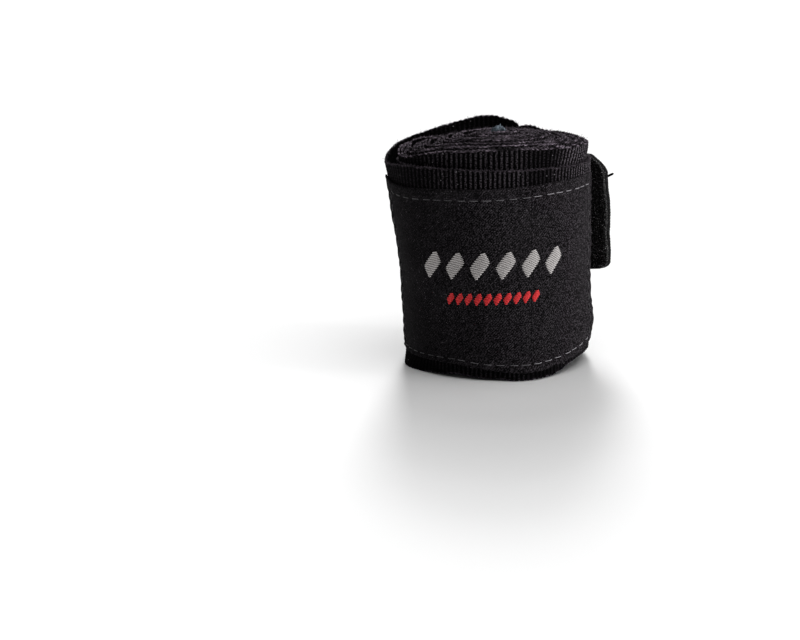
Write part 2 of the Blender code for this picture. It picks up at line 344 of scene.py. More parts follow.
def add_strip(name, phi, height, face, back, rim, material, local=None, along=None):
    """Closed strip of cloth.

    phi has one value per column; height (z), face and back (offsets of the
    outer and inner sides) are arrays of columns by rows, and so are local and
    along, the height and length that the material reads.
    """
    count, rows = height.shape
    local = height if local is None else local
    side = np.ones_like(height)

    def ring(outer, inner, top, bottom):
        return np.hstack([outer, top, inner[:, ::-1], bottom])

    middle = 0.5 * (face + back)
    z = ring(height, height, height[:, -1:] + rim, height[:, :1] - rim)
    out = ring(face, back, middle[:, -1:], middle[:, :1])
    row_at = ring(local, local, local[:, -1:], local[:, :1])
    sides = ring(side, -side, 0.0 * side[:, :1], 0.0 * side[:, :1])
    loop = z.shape[1]
    points = locate(phi[:, None], z, out).reshape(-1, 3)
    along = arc_length(phi)[:, None] + 0.0 * height if along is None else along
    length = ring(along, along, along[:, -1:], along[:, :1])
    strip = np.stack([length, row_at, sides], axis=-1).reshape(-1, 3)
    first, after = round_loops(count, loop)
    quads = np.stack([first, after, after + loop, first + loop], axis=-1).reshape(-1, 4)
    outer = np.arange(rows - 1)
    inner = 2 * rows - outer
    cap = np.stack([outer, inner, inner - 1, outer + 1], axis=-1)
    tips = np.array([[rows - 1, rows + 1, rows], [0, loop - 1, 2 * rows]])
    last = (count - 1) * loop
    quads = np.vstack([quads, cap, cap[:, ::-1] + last])
    triangles = np.vstack([tips, tips[:, ::-1] + last])
    return add_mesh(name, points, quads, triangles, material, strip, 2 * len(cap))


def add_tubes(name, lines, radius, sides, material, flatten=1.0, up=None):
    """Round threads along lines, an array (threads, points, 3) in metres."""
    threads, stations, _ = lines.shape
    along = np.gradient(lines, axis=1)
    along /= np.linalg.norm(along, axis=2, keepdims=True)
    if up is None:
        up = np.zeros_like(lines)
        up[:, :, 2] = 1.0
    across = np.cross(along, up)
    across /= np.linalg.norm(across, axis=2, keepdims=True) + 1e-12
    normal = np.cross(across, along)
    angle = np.linspace(0.0, math.tau, sides, endpoint=False)
    share = np.linspace(0.0, 1.0, stations)
    taper = np.clip(np.sin(math.pi * np.clip(share, 0.02, 0.98)) * 2.6, 0.25, 1.0)
    size = np.broadcast_to(np.asarray(radius, float).reshape(-1, 1), (threads, stations)) * taper
    ring = (across[:, :, None, :] * np.cos(angle)[None, None, :, None]
            + normal[:, :, None, :] * (flatten * np.sin(angle))[None, None, :, None])
    points = lines[:, :, None, :] + ring * size[:, :, None, None] * MM
    base = (np.arange(threads)[:, None, None] * stations * sides
            + np.arange(stations - 1)[None, :, None] * sides)
    here = base + np.arange(sides)[None, None, :]
    beside = base + (np.arange(sides)[None, None, :] + 1) % sides
    quads = np.stack([here, here + sides, beside + sides, beside], axis=-1).reshape(-1, 4)
    starts = np.arange(threads)[:, None] * stations * sides
    ends = starts + (stations - 1) * sides
    fan = np.array([[0, i, i + 1] for i in range(1, sides - 1)])
    caps = np.vstack([(starts[:, :, None] + fan[None]).reshape(-1, 3),
                      (ends[:, :, None] + fan[None, :, ::-1]).reshape(-1, 3)])
    length = np.broadcast_to((share * stations)[None, :, None], points.shape[:3])
    strip = np.stack([length, length * 0.0, length * 0.0 + 1.0], axis=-1).reshape(-1, 3)
    return add_mesh(name, points.reshape(-1, 3), quads, caps, material, strip)


# ---- joints


def bend_at(obj, joint):
    """Bakes the piece's transform; the points beside the joint, numbered from 1, are not used."""
    centre = ARC * (joint - 1)
    start, end = locate(np.array([centre - BLEND_REACH, centre + BLEND_REACH]), AXIS_Z, 0.0)
    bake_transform(obj)
    return obj


def joint_span(joint, start, end):
    """The part of start to end that bends at one joint, or None."""
    first = -math.inf if joint == 1 else ARC * (joint - 1) - HALF_ARC
    last = math.inf if joint == 7 else ARC * (joint - 1) + HALF_ARC
    low, high = max(start, first), min(end, last)
    return (low, high) if high - low > 0.5 else None


# ---- materials

def set_inputs(node, values):
    """Give plain values to a node's inputs by name."""
    for name, value in values.items():
        node.inputs[name].default_value = value


# Colours of the cloths.
# GROOVE_BLACK and RIB_GREY paint shade into the web's rib grooves and a highlight onto its rib crests.
GROOVE_BLACK, RIB_GREY = (0.0006, 0.0005, 0.0006), (0.115, 0.101, 0.115)
FRAY_BLACK, FRAY_PALE = (0.001, 0.0009, 0.001), (0.34, 0.28, 0.34)
WEB_LINT = (0.16, 0.15, 0.16)
TWILL_BLACK, TWILL_GREY = (0.0015, 0.0013, 0.0015), (0.066, 0.058, 0.066)
TWILL_WORN = (0.018, 0.0165, 0.018)
TWILL_LINT_DIM, TWILL_LINT_PALE = (0.06, 0.055, 0.06), (0.14, 0.13, 0.14)
TWILL_PITCH = 0.66


class Cloth:
    """A Principled material whose nodes read the strip's own coordinates."""

    def __init__(self, name, roughness, specular=0.15, sheen=0.0, sheen_tint=(1.0, 1.0, 1.0)):
        self.material = bpy.data.materials.new(name)
        self.material.use_nodes = True
        self.tree = self.material.node_tree
        self.shader = self.tree.nodes["Principled BSDF"]
        set_inputs(self.shader, {
            "Roughness": roughness, "Specular IOR Level": specular, "Sheen Weight": sheen,
            "Sheen Roughness": 0.45, "Sheen Tint": (*sheen_tint, 1.0)})
        self.strip = self.attribute("strip")["Vector"]

    def link(self, value, socket):
        """Join a socket, or set a number or a colour."""
        if isinstance(value, bpy.types.NodeSocket):
            self.tree.links.new(value, socket)
        else:
            socket.default_value = (*value, 1.0) if isinstance(value, tuple) else value

    def attribute(self, name):
        """Outputs of what the mesh holds at each point under a name."""
        node = self.tree.nodes.new("ShaderNodeAttribute")
        node.attribute_name = name
        return node.outputs

    def math(self, operation, first, second=0.0, third=0.0):
        """One arithmetic step."""
        node = self.tree.nodes.new("ShaderNodeMath")
        node.operation = operation
        self.link(first, node.inputs[0])
        self.link(second, node.inputs[1])
        self.link(third, node.inputs[2])
        return node.outputs[0]

    def parts(self):
        """Length, height and side of the strip at a point."""
        node = self.tree.nodes.new("ShaderNodeSeparateXYZ")
        self.link(self.strip, node.inputs[0])
        return node.outputs[0], node.outputs[1], node.outputs[2]

    def noise(self, scale, detail=2.0, stretch=(1.0, 1.0, 1.0), roughness=0.5):
        """Noise over the strip; scale is features per millimetre."""
        mapping = self.tree.nodes.new("ShaderNodeMapping")
        set_inputs(mapping, {"Scale": [scale * s for s in stretch]})
        self.link(self.strip, mapping.inputs["Vector"])
        node = self.tree.nodes.new("ShaderNodeTexNoise")
        set_inputs(node, {"Scale": 1.0, "Detail": detail, "Roughness": roughness})
        self.link(mapping.outputs[0], node.inputs["Vector"])
        return node.outputs["Fac"]

    def specks(self, scale, size):
        """1 inside sparse dots, scale dots per millimetre."""
        mapping = self.tree.nodes.new("ShaderNodeMapping")
        set_inputs(mapping, {"Scale": (scale, scale, 3.0)})
        self.link(self.strip, mapping.inputs["Vector"])
        node = self.tree.nodes.new("ShaderNodeTexVoronoi")
        set_inputs(node, {"Scale": 1.0})
        self.link(mapping.outputs[0], node.inputs["Vector"])
        return self.ramp(node.outputs["Distance"], size, size * 0.4)

    def ramp(self, value, start, end):
        """0 at start, 1 at end."""
        node = self.tree.nodes.new("ShaderNodeMapRange")
        node.interpolation_type = "SMOOTHSTEP"
        self.link(value, node.inputs["Value"])
        set_inputs(node, {"From Min": start, "From Max": end})
        return node.outputs[0]

    def mix(self, share, first, second):
        """Colour between first and second."""
        node = self.tree.nodes.new("ShaderNodeMix")
        node.data_type = "RGBA"
        self.link(share, node.inputs[0])
        self.link(first, node.inputs[6])
        self.link(second, node.inputs[7])
        return node.outputs[2]

    def bump(self, height, distance, strength):
        """Bump of that depth in millimetres."""
        node = self.tree.nodes.new("ShaderNodeBump")
        set_inputs(node, {"Strength": strength, "Distance": distance * MM})
        self.link(height, node.inputs["Height"])
        self.link(node.outputs[0], self.shader.inputs["Normal"])

    def colour(self, value):
        """Set the base colour."""
        self.link(value, self.shader.inputs["Base Color"])


def half_wave(cloth, value, period):
    """A 0 to 1 wave made with a sine node."""
    turned = cloth.math("SINE", cloth.math("MULTIPLY", value, math.tau / period))
    return cloth.math("ADD", cloth.math("MULTIPLY", turned, 0.5), 0.5)


def make_web():
    """Ribbed elastic web: black yarn, paler purple-grey at its cut edges, with painted light and shade on
    its ribs, faces and foot.
    """
    cloth = Cloth("ribbed_web", 0.9, specular=0.02, sheen=0.005, sheen_tint=(0.95, 0.88, 1.0))
    length, height, side = cloth.parts()
    # Painted highlight on the rib crests and painted shade in the grooves, times a random yarn grain.
    rib = half_wave(cloth, cloth.math("ADD", length, 0.25 * RIB_PITCH), RIB_PITCH)
    grain = cloth.noise(3.0, 1.0)
    lit = cloth.math("MULTIPLY", cloth.ramp(rib, 0.25, 0.9), cloth.ramp(grain, 0.36, 0.66))
    # Painted shade: the web's inner face is darkened.
    lit = cloth.math("MULTIPLY", lit, cloth.math("MULTIPLY_ADD", cloth.ramp(side, -0.8, 0.2), 0.85, 0.15))
    for place, reach in DULL_PATCHES:
        away = cloth.math("ABSOLUTE", cloth.math("SUBTRACT", length, place))
        plain = cloth.math("MULTIPLY_ADD", cloth.ramp(away, 0.3 * reach, reach), 0.7, 0.3)
        lit = cloth.math("MULTIPLY", lit, plain)
    # Painted shade: the web is darkened towards its foot.
    lit = cloth.math("MULTIPLY", lit, cloth.math("MULTIPLY_ADD", cloth.ramp(height, 1.0, 5.0), 0.65, 0.35))
    # Painted light: patches of web at the right are painted paler where the light from the right falls.
    light_patch_share = 0.5
    for place, reach in PAINTED_LIGHT_PATCHES:
        away = cloth.math("ABSOLUTE", cloth.math("SUBTRACT", length, place))
        light_patch_share = cloth.math("MULTIPLY_ADD", cloth.ramp(away, reach, 0.3 * reach), 0.5, light_patch_share)
    lit = cloth.math("MULTIPLY", lit, light_patch_share)
    yarn = cloth.mix(lit, GROOVE_BLACK, RIB_GREY)
    clean = cloth.math("MULTIPLY_ADD", cloth.ramp(length, *CLEAN_EDGE), -0.75, 1.0)
    edge_top = cloth.math("MULTIPLY", cloth.ramp(height, WEB_WIDTH - 0.32, WEB_WIDTH - 0.02), clean)
    edge_low = cloth.math("MULTIPLY", cloth.ramp(height, 0.3, 0.05), 0.25)
    edge = cloth.math("MAXIMUM", edge_top, edge_low)
    fibre = cloth.noise(1.9, 2.0, (0.6, 1.0, 1.2), roughness=0.65)
    pale = cloth.math("MULTIPLY", cloth.ramp(fibre, 0.43, 0.62), cloth.attribute("wear")["Fac"])
    frayed = cloth.mix(pale, FRAY_BLACK, FRAY_PALE)
    colour = cloth.mix(edge, yarn, frayed)
    colour = cloth.mix(cloth.specks(0.6, 0.11), colour, WEB_LINT)
    cloth.colour(colour)
    beads = half_wave(cloth, height, BEAD_PITCH)
    relief = cloth.math("ADD", cloth.math("MULTIPLY", beads, 0.35), grain)
    cloth.bump(relief, 0.2, 0.9)
    return cloth.material


def make_label():
    """Black twill, fine and grainy, with painted light towards the label's right end and painted shade
    towards its left end.
    """
    cloth = Cloth("label_twill", 0.85, specular=0.025, sheen=0.008, sheen_tint=(0.95, 0.93, 1.0))
    length, height, _ = cloth.parts()
    slope = cloth.math("ADD", length, cloth.math("MULTIPLY", height, 0.9))
    twill = half_wave(cloth, slope, TWILL_PITCH)
    yarn = cloth.noise(3.3, 1.0)
    broad = cloth.noise(0.12, 3.0)
    share = cloth.math("MULTIPLY", cloth.math("MULTIPLY_ADD", twill, 0.6, 0.4), cloth.ramp(yarn, 0.4, 0.7))
    # Painted shade darkens the label towards its left end; painted light brightens it towards its right end.
    light_and_shade_share = cloth.math("MULTIPLY_ADD", cloth.ramp(length, 56.0, 36.0), 0.45, 0.3)
    light_and_shade_share = cloth.math("MULTIPLY_ADD", cloth.ramp(length, 24.0, 8.0), 0.25, light_and_shade_share)
    share = cloth.math("MULTIPLY", share, light_and_shade_share)
    colour = cloth.mix(share, TWILL_BLACK, TWILL_GREY)
    colour = cloth.mix(cloth.math("MULTIPLY", cloth.ramp(broad, 0.45, 0.75), 0.25), colour, TWILL_WORN)
    lint = cloth.mix(cloth.ramp(broad, 0.3, 0.7), TWILL_LINT_DIM, TWILL_LINT_PALE)
    colour = cloth.mix(cloth.specks(1.25, 0.16), colour, lint)
    cloth.colour(colour)
    relief = cloth.math("ADD", twill, yarn)
    cloth.bump(relief, 0.1, 0.9)
    return cloth.material


def make_thread(name, dark, pale, roughness=0.5, specular=0.3):
    """Twisted sewing thread."""
    cloth = Cloth(name, roughness, specular=specular)
    twist = cloth.noise(3.0, 2.0)
    cloth.colour(cloth.mix(cloth.ramp(twist, 0.3, 0.7), dark, pale))
    cloth.bump(twist, 0.05, 0.6)
    return cloth.material


def make_pile(name, dark, pale, speck, density=1.25):
    """Napped tape: small dense tufts with a few caught bits of lint."""
    cloth = Cloth(name, 0.9, specular=0.04, sheen=0.02)
    tufts = cloth.noise(2.8, 3.0, roughness=0.7)
    colour = cloth.mix(cloth.ramp(tufts, 0.45, 0.7), dark, pale)
    lint = cloth.math("MULTIPLY", cloth.specks(density, 0.22), cloth.ramp(cloth.noise(0.9), 0.3, 0.6))
    colour = cloth.mix(lint, colour, speck)
    cloth.colour(colour)
    cloth.bump(tufts, 0.3, 1.0)
    return cloth.material


WEB = make_web()
LABEL = make_label()
# Copies of one grey thread: a paler one with painted light for the label's right end, and a darker one with
# painted shade for its left end and the side seams.
PAINTED_LIGHT_THREAD = make_thread("grey_thread_painted_lit", (0.10, 0.095, 0.103), (0.42, 0.40, 0.43))
GREY_THREAD = make_thread("grey_thread", (0.03, 0.029, 0.031), (0.20, 0.19, 0.205))
PAINTED_SHADE_THREAD = make_thread("grey_thread_painted_shade", (0.015, 0.0145, 0.0155), (0.11, 0.105, 0.113))
LABEL_THREADS = (PAINTED_LIGHT_THREAD, PAINTED_LIGHT_THREAD, GREY_THREAD, PAINTED_SHADE_THREAD, PAINTED_SHADE_THREAD)
PALE_THREAD = make_thread("pale_motif_thread", (0.36, 0.34, 0.335), (0.62, 0.59, 0.58), 0.6)
RED_THREAD = make_thread("red_motif_thread", (0.55, 0.02, 0.025), (0.85, 0.045, 0.05), 0.6)
BLACK_THREAD = make_thread("black_thread", (0.003, 0.003, 0.003), (0.012, 0.012, 0.013))
LOOSE_THREAD = make_thread("loose_black_thread", (0.001, 0.001, 0.001), (0.003, 0.003, 0.003), 0.9, 0.03)
LOOP_TAPE = make_pile("loop_tape", (0.0015, 0.0015, 0.0015), (0.03, 0.028, 0.03),
                      (0.25, 0.24, 0.25))
HOOK_TAPE = make_pile("hook_tape", (0.001, 0.001, 0.001), (0.075, 0.073, 0.075),
                      (0.9, 0.88, 0.9), 2.3)
TAG = make_thread("blue_grey_ribbon", (0.010, 0.015, 0.020), (0.22, 0.27, 0.32), 0.8, 0.05)
FUZZ = make_thread("web_fuzz", (0.006, 0.005, 0.006), (0.13, 0.11, 0.13), 0.9, 0.02)


# ---- web

def rib_turns(phi, length, height):
    """Count of ribs along the web; they wander a little and lean at the upper right."""
    turn = length / np.where(length < 0.0, RIB_PITCH, LAP_RIB_PITCH)
    turn = turn + 0.09 * wander(length, 4.0, 24) + 0.06 * wander(height + 3.0 * np.floor(turn), 5.0, 25)
    lean = np.where(length < 0.0, 0.32, 0.12)
    return turn + lean * (height - WEB_WIDTH) * hump(phi, 322.0, 16.0) * ease(38.0, 44.0, height)


def rib_relief(turn, height):
    """Outward relief of the ribs along the web's width and the beads on them."""
    rib = 0.5 + 0.5 * np.cos(math.tau * turn)
    stagger = 0.5 * (np.floor(turn + 0.5) % 2)
    bead = 0.5 + 0.5 * np.cos(math.tau * (height / BEAD_PITCH + stagger))
    return RIB_DEPTH * rib ** 0.8 * (0.6 + 0.4 * bead)


def edge_wave(length):
    """Scalloped, slightly uneven cut edge."""
    scallop = 0.09 * np.cos(math.tau * length / RIB_PITCH)
    return scallop + 0.07 * wander(length, 0.9, 21) + 0.10 * wander(length, 6.0, 22)


def add_web(name, start, end, spacing, heights):
    """A length of the wound web."""
    phi = columns(start, end, spacing)
    length = arc_length(phi)[:, None]
    local = np.broadcast_to(heights[None, :], (len(phi), len(heights)))
    share = local / WEB_WIDTH
    raised = edge_wave(length) * ease(46.0, 50.0, local) - top_drop(phi)[:, None] * ease(0.4, 1.0, share)
    raised = raised + foot_lift(phi)[:, None] * (1.0 - share) ** 1.5
    raised = raised + np.abs(edge_wave(length + 300.0)) * ease(3.0, 0.0, local)
    z = web_low(phi)[:, None] + local + raised + WEB_RIM + 0.02     # just clear of the floor
    stand = stand_off(phi[:, None], z)
    soft = 0.05 * ripples(length, local, 31)
    turn = rib_turns(phi[:, None], length, local)
    face = WEB_HALF + rib_relief(turn, local) + stand + soft
    back = -WEB_HALF - rib_relief(turn + 0.5, local) + stand + soft
    return add_strip(name, phi, z, face, back, WEB_RIM, WEB, local, turn * RIB_PITCH)


COARSE_ROWS = runs((1.0, 0.5), (6.0, 2.5), (42.0, 9.0), (46.0, 2.0), (48.4, 0.8), (49.6, 0.4), (50.0, 0.2))
BAND_ROWS = runs((1.2, 0.4), (6.0, 2.4), (41.0, 7.0), (43.0, 1.0), (49.6, 0.3), (50.0, 0.2))
LAP_ROWS = runs((3.6, 0.3), (8.0, 2.2), (41.0, 6.6), (44.0, 1.5), (49.6, 0.3), (50.0, 0.2))
BACK_ROWS = runs((49.6, 0.31), (50.0, 0.2))
TURN_ROWS = runs((49.6, 1.0), (50.0, 0.2))

ROLL_WEBS = (
    ("web_core", CORE_PHI, -7600.0, 0.27, COARSE_ROWS),
    ("web_inner_turns", -7600.0, -4300.0, 0.28, COARSE_ROWS),
    ("web_middle_turns", -4300.0, -2300.0, 0.27, COARSE_ROWS),
    ("web_outer_turns", -2300.0, -880.0, 0.25, COARSE_ROWS),
    ("web_raised_turn", -880.0, -382.5, 0.195, BAND_ROWS),
    ("web_last_full_turn", -382.5, -HALF_ARC, 0.195, TURN_ROWS),
)


def build_web():
    """The strip of web: what stays on the roll, and the last lap."""
    for name, start, end, spacing, heights in ROLL_WEBS:
        obj = add_web(name, start, end, spacing, heights)
        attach(obj, "roll")
        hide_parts("web_roll")
    for joint in range(1, 8):
        start, end = joint_span(joint, -HALF_ARC, WEB_END_PHI)
        rows = BACK_ROWS if joint >= 5 else LAP_ROWS
        obj = add_web(f"web_lap_cloth_{joint}", start, end, 0.195, rows)
        bend_at(obj, joint)
        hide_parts(f"web_lap_{joint}")


# ---- label

def low_inset(phi):
    """Distance of the lower stitches from the label's lower edge."""
    return 1.15 + 0.65 * ease(100.0, 75.0, phi)


def label_low(phi):
    """Lower folded edge of the label."""
    return trace(((9.0, 5.7), (16.0, 5.1), (28.0, 4.0), (46.0, 2.9), (60.0, 2.25), (71.0, 2.0), (84.0, 2.3),
                  (99.0, 3.05), (112.0, 3.7), (125.0, 3.65), (144.0, 3.35), (172.0, 3.2)), phi)


def label_high(phi):
    """Upper folded edge of the label."""
    return trace(((9.0, 47.3), (20.0, 47.5), (32.0, 47.3), (54.0, 47.0), (67.0, 46.5), (90.0, 45.95),
                  (122.0, 45.5), (144.0, 45.0), (160.0, 45.2), (172.0, 46.3)), phi)


def label_surface(phi, z):
    """Outward offset of the label's face."""
    length = arc_length(phi)
    low, high = label_low(phi), label_high(phi)
    side = np.minimum(length - arc_length(LABEL_START_PHI), arc_length(LABEL_END_PHI) - length)
    upper = np.minimum(high - z, side)
    inset = np.minimum(upper, z - low)
    above_seam = z - low - low_inset(phi)
    hem = np.where(upper < z - low, ease(STITCH_INSET + 0.9, STITCH_INSET - 0.3, upper),
                   ease(0.9, -0.3, above_seam))
    seam = np.exp(-((upper - STITCH_INSET) / 0.5) ** 2) + np.exp(-(above_seam / 0.5) ** 2)
    pucker = 0.08 * np.cos(math.tau * (length + z) / STITCH_PITCH + ripples(length, z, 43))
    pucker = pucker * ease(7.0, 2.0, inset)
    fold = ease(0.45, 0.0, inset) ** 2
    soft = 0.12 * ripples(length, z, 41, short=7.0, long=26.0)
    stand = stand_off(phi, z)
    return LABEL_OUT + 0.26 * hem - 0.2 * seam + pucker - 0.2 * fold + soft + stand


def build_label():
    """Label cloth with its folded hems, split where the joints bend it."""
    hem = np.array([0.0, 0.15, 0.35, 0.6])
    rows = np.concatenate([hem, np.linspace(1.0, LABEL_WIDTH - 1.0, 96), LABEL_WIDTH - hem[::-1]])
    share = rows / LABEL_WIDTH
    panels = []
    for joint in range(1, 6):
        start, end = joint_span(joint, LABEL_START_PHI, LABEL_END_PHI)
        phi = columns(start, end, 0.3)
        low, high = label_low(phi)[:, None], label_high(phi)[:, None]
        z = low + (high - low) * share[None, :]
        face = label_surface(phi[:, None], z)
        back = np.minimum(face - LABEL_THICKNESS, ON_WEB + stand_off(phi[:, None], z))
        obj = add_strip(f"label_cloth_{joint}", phi, z, face, back, 0.07, LABEL)
        bend_at(obj, joint)
        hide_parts(f"label_panel_{min(joint, 4)}")
        panels.append((obj, phi))
    return panels


def add_stitches(name, phi_a, z_a, phi_b, z_b, joint, material, surface, radius=0.09):
    """Raised stitches between pairs of points on a surface of the strip."""
    share = np.linspace(0.0, 1.0, 9)[None, :]
    phi = phi_a[:, None] + (phi_b - phi_a)[:, None] * share
    z = z_a[:, None] + (z_b - z_a)[:, None] * share
    arch = 0.20 * np.sin(math.pi * share) ** 0.6 - 0.10
    lines = locate(phi, z, surface(phi, z) + arch)
    angle = np.radians(LAP_ANGLE - phi)
    up = np.stack([np.cos(angle), np.sin(angle), 0.0 * angle], axis=-1)
    obj = add_tubes(name, lines, radius, 7, material, 0.8, up)
    bend_at(obj, joint)
    return obj


def seam_places(start, end, joint):
    """Starts and ends of the stitches of a level seam that bend at one joint."""
    count = int((arc_length(end) - arc_length(start)) / STITCH_PITCH)
    pitch = (end - start) / count
    first = start + pitch * np.arange(count)
    first = first + pitch * 0.06 * rng.standard_normal(count)
    last = first + pitch * STITCH_LENGTH / STITCH_PITCH
    span = joint_span(joint, start - 5.0, end + 5.0)
    middle = 0.5 * (first + last)
    keep = (middle >= span[0]) & (middle < span[1])
    return first[keep], last[keep]


def build_label_seams(panels):
    """Running stitches just inside the label's four edges."""
    inset = math.degrees(STITCH_INSET / LAP_RADIUS)
    left, right = LABEL_END_PHI - inset, LABEL_START_PHI + inset
    for joint, (panel, phi) in enumerate(panels, start=1):
        for row, level in (("top", lambda p: label_high(p) - STITCH_INSET),
                           ("bottom", lambda p: label_low(p) + low_inset(p))):
            first, last = seam_places(right, left, joint)
            if len(first):
                obj = add_stitches(f"label_stitches_{row}_{joint}", first, level(first),
                                   last, level(last), joint, LABEL_THREADS[joint - 1], label_surface)
                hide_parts(f"label_seam_{row}_{min(joint, 4)}")
        if joint in (1, 5):
            side, at = ("right", right) if joint == 1 else ("left", left)
            low, high = label_low(at) + low_inset(at), label_high(at) - STITCH_INSET
            count = int((high - low) / STITCH_PITCH)
            first = low + (high - low) * (np.arange(count) + 0.15) / count
            first = first + 0.1 * rng.standard_normal(count)
            places = np.full(count, at)
            obj = add_stitches(f"label_stitches_{side}", places, first, places, first + STITCH_LENGTH,
                               joint, PAINTED_SHADE_THREAD, label_surface)
            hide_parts(f"label_seam_{side}")


# Thread, number of lozenges, degrees between them, height, half width, half height, pitch of the threads.
MOTIF_ROWS = {"pale": (PALE_THREAD, 6, 15.0, 28.0, 2.5, 3.4, 0.46),
              "red": (RED_THREAD, 10, 5.7, 20.0, 1.0, 1.5, 0.4)}
MOTIF_PHI = 90.0            # the middle of both rows
MOTIF_SLANT = 0.017         # the rows rise this far for each degree to the right
MOTIF_LEAN = 0.25           # the lozenges lean to the right this far for each millimetre of height


def motif_threads(centre_phi, centre_z, half_width, half_height, pitch):
    """Threads that fill a lozenge: start and end of each, as (phi, z)."""
    count = int(2.0 * half_height / pitch)
    level = -half_height + pitch * (np.arange(count) + 0.5)
    reach = half_width * (1.0 - (np.abs(level) / half_height) ** 1.25) + 0.12
    turn = math.degrees(1.0 / (LAP_RADIUS + 1.0))
    middle = centre_phi - MOTIF_LEAN * level * turn
    return (middle + reach * turn, centre_z + level - 0.28 * reach,
            middle - reach * turn, centre_z + level + 0.28 * reach)


def build_motif():
    """Six pale lozenges over a row of small red dashes."""
    for name, (material, count, spacing, z, *sizes) in MOTIF_ROWS.items():
        centres = [MOTIF_PHI + spacing * (i - 0.5 * (count - 1)) for i in range(count)]
        for joint in range(2, 5):
            span = joint_span(joint, 0.0, 180.0)
            near = [c for c in centres if span[0] <= c < span[1]]
            if not near:
                continue
            threads = [motif_threads(c, z + MOTIF_SLANT * (MOTIF_PHI - c), *sizes) for c in near]
            first_phi, first_z, last_phi, last_z = (np.concatenate(t) for t in zip(*threads))
            obj = add_stitches(f"label_motif_{name}_{joint}", first_phi, first_z, last_phi, last_z,
                               joint, material, label_surface, radius=0.165)


# ---- closing tab

def tab_low(phi):
    """Lower edge of the tab, which runs at the web's slant."""
    return web_low(phi) + 0.5 * (WEB_WIDTH - TAB_WIDTH)


def rounding(left, run, rise):
    """How far an edge draws in at a rounded corner, left millimetres from the end."""
    away = np.clip(1.0 - left / run, 0.0, 1.0)
    return rise * (1.0 - np.sqrt(1.0 - away ** 2))


def tab_rise(phi, share):
    """Height of a row of the tab, with its free corners rounded."""
    left = np.radians(TAB_END_PHI - phi) * FREE_RADIUS
    top = rounding(left, 7.5, 5.2) + 0.6 * ease(6.0, 3.5, left)
    low = rounding(left, 3.0, 2.0) + 0.7 * ease(9.0, 0.0, left)
    return tab_low(phi) + low + (TAB_WIDTH - top - low) * share


def tab_sway(phi, share):
    """The free end waves a little and leans out more at its foot."""
    stops = ((0.0, 0.9), (0.13, 0.95), (0.33, 0.4), (0.56, 0.62), (0.69, 0.5), (0.84, -0.3), (1.0, -0.6))
    return ease(FREE_PHI - 10.0, TAB_END_PHI, phi) * trace(stops, share)


def add_tab_layer(name, start, end, joint, inner, outer, material, seed):
    """One tape of the tab, from inner to outer offset, with a bound border."""
    phi = columns(start, end, 0.3)
    if end >= TAB_END_PHI - 0.1:
        phi = np.concatenate([phi[:-1], phi[-1] - np.array([0.35, 0.15, 0.0])])
    share = np.linspace(0.0, 1.0, 91)[None, :]
    z = tab_rise(phi[:, None], share)
    left = np.radians(TAB_END_PHI - phi)[:, None] * FREE_RADIUS
    border = np.minimum(left, np.minimum(share, 1.0 - share) * TAB_WIDTH)
    bound = ease(2.1, 1.7, border)
    ribs = 0.5 + 0.5 * np.cos(math.tau * (z + 0.35 * left) / 0.75)
    groove = np.exp(-((border - 2.0) / 0.28) ** 2)
    worn = 0.07 * ripples(arc_length(phi)[:, None], z, seed, short=3.0, long=11.0)
    swell = bound * (0.16 + 0.12 * ribs) - 0.14 * groove
    edge = 0.5 * (outer - inner) * ease(0.5, 0.0, border) ** 2 * 0.7
    sway = tab_sway(phi[:, None], share)
    stand = stand_off(phi[:, None], z) * ease(300.0, 270.0, phi)[:, None]
    face = outer - CLIMB + swell - edge + sway + worn + stand
    back = inner - CLIMB - swell + edge + sway + worn + stand
    obj = add_strip(name, phi, z, face, back, 0.05, material)
    bend_at(obj, joint)
    return obj


def tab_face(phi, z):
    """Outward offset of the tab's outer face."""
    share = (z - tab_low(phi)) / TAB_WIDTH
    stand = stand_off(phi, z) * ease(300.0, 270.0, phi)
    outer = np.where(phi < WEB_END_PHI, ON_WEB + 0.02, BACKING_OUT[1] - CLIMB - 0.03)
    return outer + tab_sway(phi, share) + stand


def build_tab():
    """Hook tape and backing tape."""
    for joint in (6, 7):
        start, end = joint_span(joint, TAB_START_PHI, TAB_END_PHI)
        obj = add_tab_layer(f"hook_tape_cloth_{joint - 5}", start, end, joint, *HOOK_TAPE_OUT, HOOK_TAPE, 51)
        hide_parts(*(("hook_tape_1",) if joint == 6 else ("hook_tape_2", "hook_tape_3")))
    obj = add_tab_layer("tab_backing_cloth", WEB_END_PHI + 0.6, TAB_END_PHI, 7, *BACKING_OUT, LOOP_TAPE, 52)
    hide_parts("tab_backing")


def build_tab_seams():
    """Stitches that hold the tapes to the web and to each other."""
    for row, inset in (("bottom", TAB_SEAM_INSET), ("top", TAB_WIDTH - TAB_SEAM_INSET)):
        for joint in (6, 7):
            first, last = seam_places(TAB_START_PHI + 2.0, TAB_END_PHI - 7.0, joint)
            obj = add_stitches(f"tab_stitches_{row}_{joint - 5}", first, tab_low(first) + inset,
                               last, tab_low(last) + inset, joint, BLACK_THREAD, tab_face)
            nodes = ("1",) if joint == 6 else ("2", "3")
            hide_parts(*(f"tab_seam_{row}_{n}" for n in nodes))
    count = 12
    low = tab_low(278.0) + 2.5 + np.arange(count) * 2.2
    obj = add_stitches("tab_joint_stitches", np.full(count, 277.4), low, np.full(count, 279.4),
                       low + 1.7, 7, BLACK_THREAD, tab_face)
    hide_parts("tab_joint_seam")


def build_loose_thread():
    """A thread that stands out of the tab's upper corner."""
    start = locate(np.array(TAB_END_PHI - 1.6), 44.3, 0.1)
    reach = np.array([1.85, -0.3, 0.95]) * MM
    line = start + np.linspace(0.0, 1.0, 9)[:, None] * reach
    obj = add_tubes("tab_loose_thread", line[None], 0.3, 7, LOOSE_THREAD)
    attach(obj, "tab")


# ---- core and patch

